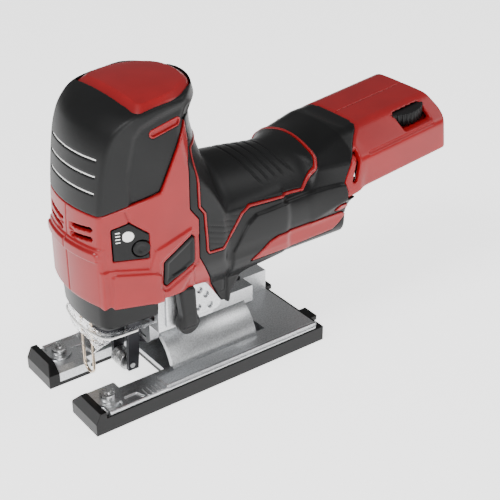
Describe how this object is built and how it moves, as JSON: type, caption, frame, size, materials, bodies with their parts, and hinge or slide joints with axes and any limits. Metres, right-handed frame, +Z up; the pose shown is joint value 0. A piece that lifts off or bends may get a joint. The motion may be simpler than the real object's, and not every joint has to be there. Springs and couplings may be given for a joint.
{
  "type": "cordless jigsaw",
  "caption": "Barrel-grip cordless jigsaw with a reciprocating blade holder, pendulum guide, bevelling base plate and open battery bay.",
  "frame": {"origin": "centre of the sole's underside", "axes": "+X towards the battery end, -X towards the blade, +Z up along the blade's stroke, +Y to the tool's right side"},
  "size_m": [0.2476, 0.078, 0.174],
  "materials": {
    "red_plastic": "satin moulded nylon",
    "soft_grip": "matte soft-grip overmould",
    "black_plastic": "fine-textured moulded plastic",
    "cast_aluminium": "blasted casting",
    "clear_plastic": "clear polycarbonate",
    "hard_steel": "ground steel",
    "spring_steel": "polished wire",
    "black_steel": "black oxide",
    "bronze": "sintered bronze",
    "copper": "enamelled copper",
    "lamination": "stacked electrical steel",
    "circuit_board": "solder mask",
    "lamp_white": "white lamp body",
    "felt": "pressed felt"
  },
  "bodies": {
    "tool": {"housing_left": "red_plastic", "housing_right": "red_plastic", "head_grip": "soft_grip", "top_insert": "red_plastic", "barrel_grip": "soft_grip", "barrel_cover": "black_plastic", "belly_strip": "red_plastic", "battery_rails": "black_plastic", "terminal_block": "black_plastic", "terminal_blades": "hard_steel", "control_board": "circuit_board", "dial_potentiometer": "black_plastic", "switch_boards": "circuit_board", "light_panel": "black_plastic", "light_switch": "circuit_board", "work_lamp": "lamp_white", "lamp_lens": "clear_plastic", "gear_housing": "cast_aluminium", "fork_pivot_pin": "hard_steel", "gear_frame": "cast_aluminium", "plunger_bushes": "bronze", "plunger_seal": "felt", "gear_shaft": "hard_steel", "foot_collar": "black_plastic", "chip_guard": "clear_plastic", "wire_guard": "spring_steel", "wire_holder": "black_plastic", "clamp_bar": "hard_steel", "clamp_screws": "black_steel", "motor_bearings": "hard_steel", "bearing_carrier": "black_plastic", "stator_core": "lamination", "stator_windings": "copper", "weight_guides": "bronze"},
    "plunger": {"plunger_rod": "hard_steel", "blade_clamp": "hard_steel"},
    "collar": {"clamp_collar": "black_steel"},
    "weight": {"counterweight": "hard_steel"},
    "crank": {"crank_gear": "hard_steel", "crank_roller": "hard_steel"},
    "rotor": {"pinion": "hard_steel", "rotor_shaft": "hard_steel", "rotor_core": "lamination", "cooling_fan": "black_plastic"},
    "fork": {"roller_fork": "black_steel", "roller_pin": "hard_steel"},
    "roller": {"guide_roller": "hard_steel"},
    "lever": {"pendulum_lever": "black_plastic", "pendulum_cam": "hard_steel"},
    "base": {"base_plate": "cast_aluminium", "glide_shoe": "black_plastic", "front_screws": "hard_steel"},
    "dial": {"speed_dial": "black_plastic"},
    "power_left": {"power_button_left": "black_plastic"},
    "power_right": {"power_button_right": "black_plastic"},
    "light": {"light_button": "black_plastic"}
  },
  "joints": [
    {"name": "blade_stroke", "type": "slide", "parent": "tool", "child": "plunger", "axis": [0, 0, 1], "range_m": [-0.011, 0.011]},
    {"name": "clamp_release", "type": "hinge", "parent": "plunger", "child": "collar", "pos_m": [-0.045, 0, 0.042], "axis": [0, 0, 1], "range_deg": [0, 75], "stiffness_Nm_per_rad": 0.02},
    {"name": "weight_stroke", "type": "slide", "parent": "tool", "child": "weight", "axis": [0, 0, 1], "range_m": [-0.008, 0.008]},
    {"name": "crank_spin", "type": "hinge", "parent": "tool", "child": "crank", "pos_m": [-0.025, 0, 0.1073], "axis": [1, 0, 0], "continuous": true},
    {"name": "rotor_spin", "type": "hinge", "parent": "tool", "child": "rotor", "pos_m": [0.04, 0, 0.0865], "axis": [1, 0, 0], "continuous": true},
    {"name": "fork_swing", "type": "hinge", "parent": "tool", "child": "fork", "pos_m": [-0.033, 0, 0.056], "axis": [0, 1, 0], "range_deg": [0, 3], "stiffness_Nm_per_rad": 0.5},
    {"name": "roller_spin", "type": "hinge", "parent": "fork", "child": "roller", "pos_m": [-0.036, 0, 0.012], "axis": [0, 1, 0], "continuous": true},
    {"name": "pendulum_set", "type": "hinge", "parent": "tool", "child": "lever", "pos_m": [-0.0115, -0.027, 0.0408], "axis": [0, -1, 0], "range_deg": [0, 60]},
    {"name": "base_bevel", "type": "hinge", "parent": "tool", "child": "base", "pos_m": [0, 0, 0.005], "axis": [1, 0, 0], "range_deg": [-45, 45]},
    {"name": "speed_set", "type": "hinge", "parent": "tool", "child": "dial", "pos_m": [0.14686, -0.014, 0.11992], "axis": [-0.1219, 0, 0.9925], "range_deg": [-135, 135]},
    {"name": "power_press_left", "type": "slide", "parent": "tool", "child": "power_left", "axis": [0, 1, 0], "range_m": [0, 0.002], "stiffness_N_per_m": 800},
    {"name": "power_press_right", "type": "slide", "parent": "tool", "child": "power_right", "axis": [0, -1, 0], "range_m": [0, 0.002], "stiffness_N_per_m": 800},
    {"name": "light_press", "type": "slide", "parent": "tool", "child": "light", "axis": [0, 1, 0], "range_m": [0, 0.0008], "stiffness_N_per_m": 800}
  ],
  "couplings": [
    {"joint": "weight_stroke", "follows": "blade_stroke", "ratio": -0.72727},
    {"joint": "rotor_spin", "follows": "crank_spin", "ratio": -4.75}
  ]
}
